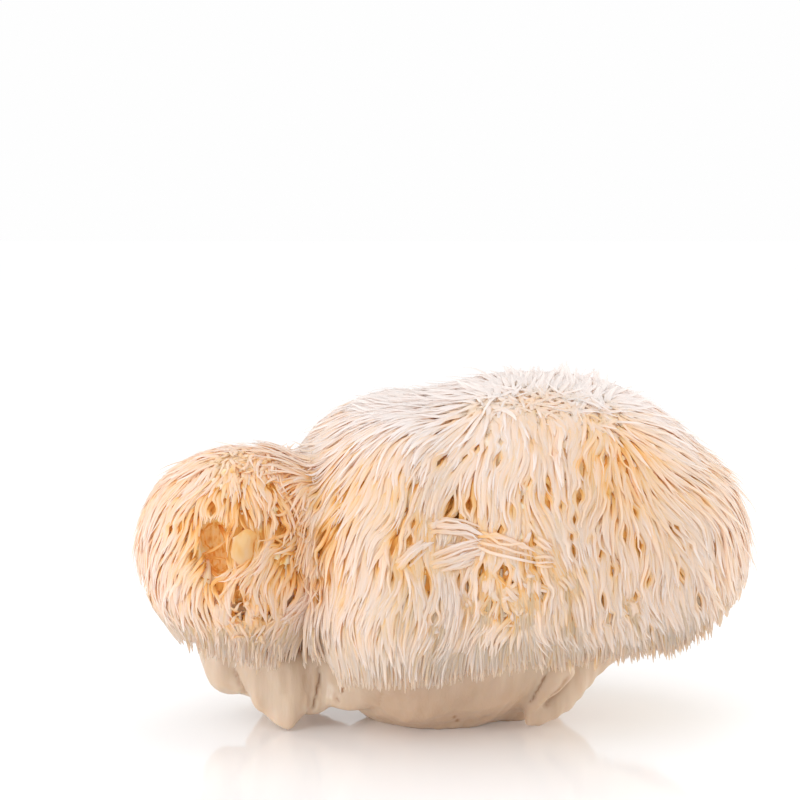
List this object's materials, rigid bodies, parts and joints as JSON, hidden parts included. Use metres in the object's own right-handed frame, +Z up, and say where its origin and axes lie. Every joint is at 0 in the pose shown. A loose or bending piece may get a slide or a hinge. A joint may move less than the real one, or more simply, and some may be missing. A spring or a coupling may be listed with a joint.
{
  "type": "lion's mane mushroom",
  "caption": "Whole picked lion's mane mushroom: a large lobe and a small side lobe of hanging cream spines on a bare fleshy base, cut off flat where it grew.",
  "frame": {"origin": "on the flat cut underneath, below the middle of the whole mushroom", "axes": "+Z up out of the cut, +X along the length towards the large lobe, -Y towards the side that the picture shows"},
  "size_m": [0.1574, 0.0908, 0.0888],
  "materials": {
    "mushroom_flesh": "matte"
  },
  "bodies": {
    "root": {"fruiting_body": "mushroom_flesh"}
  },
  "joints": []
}
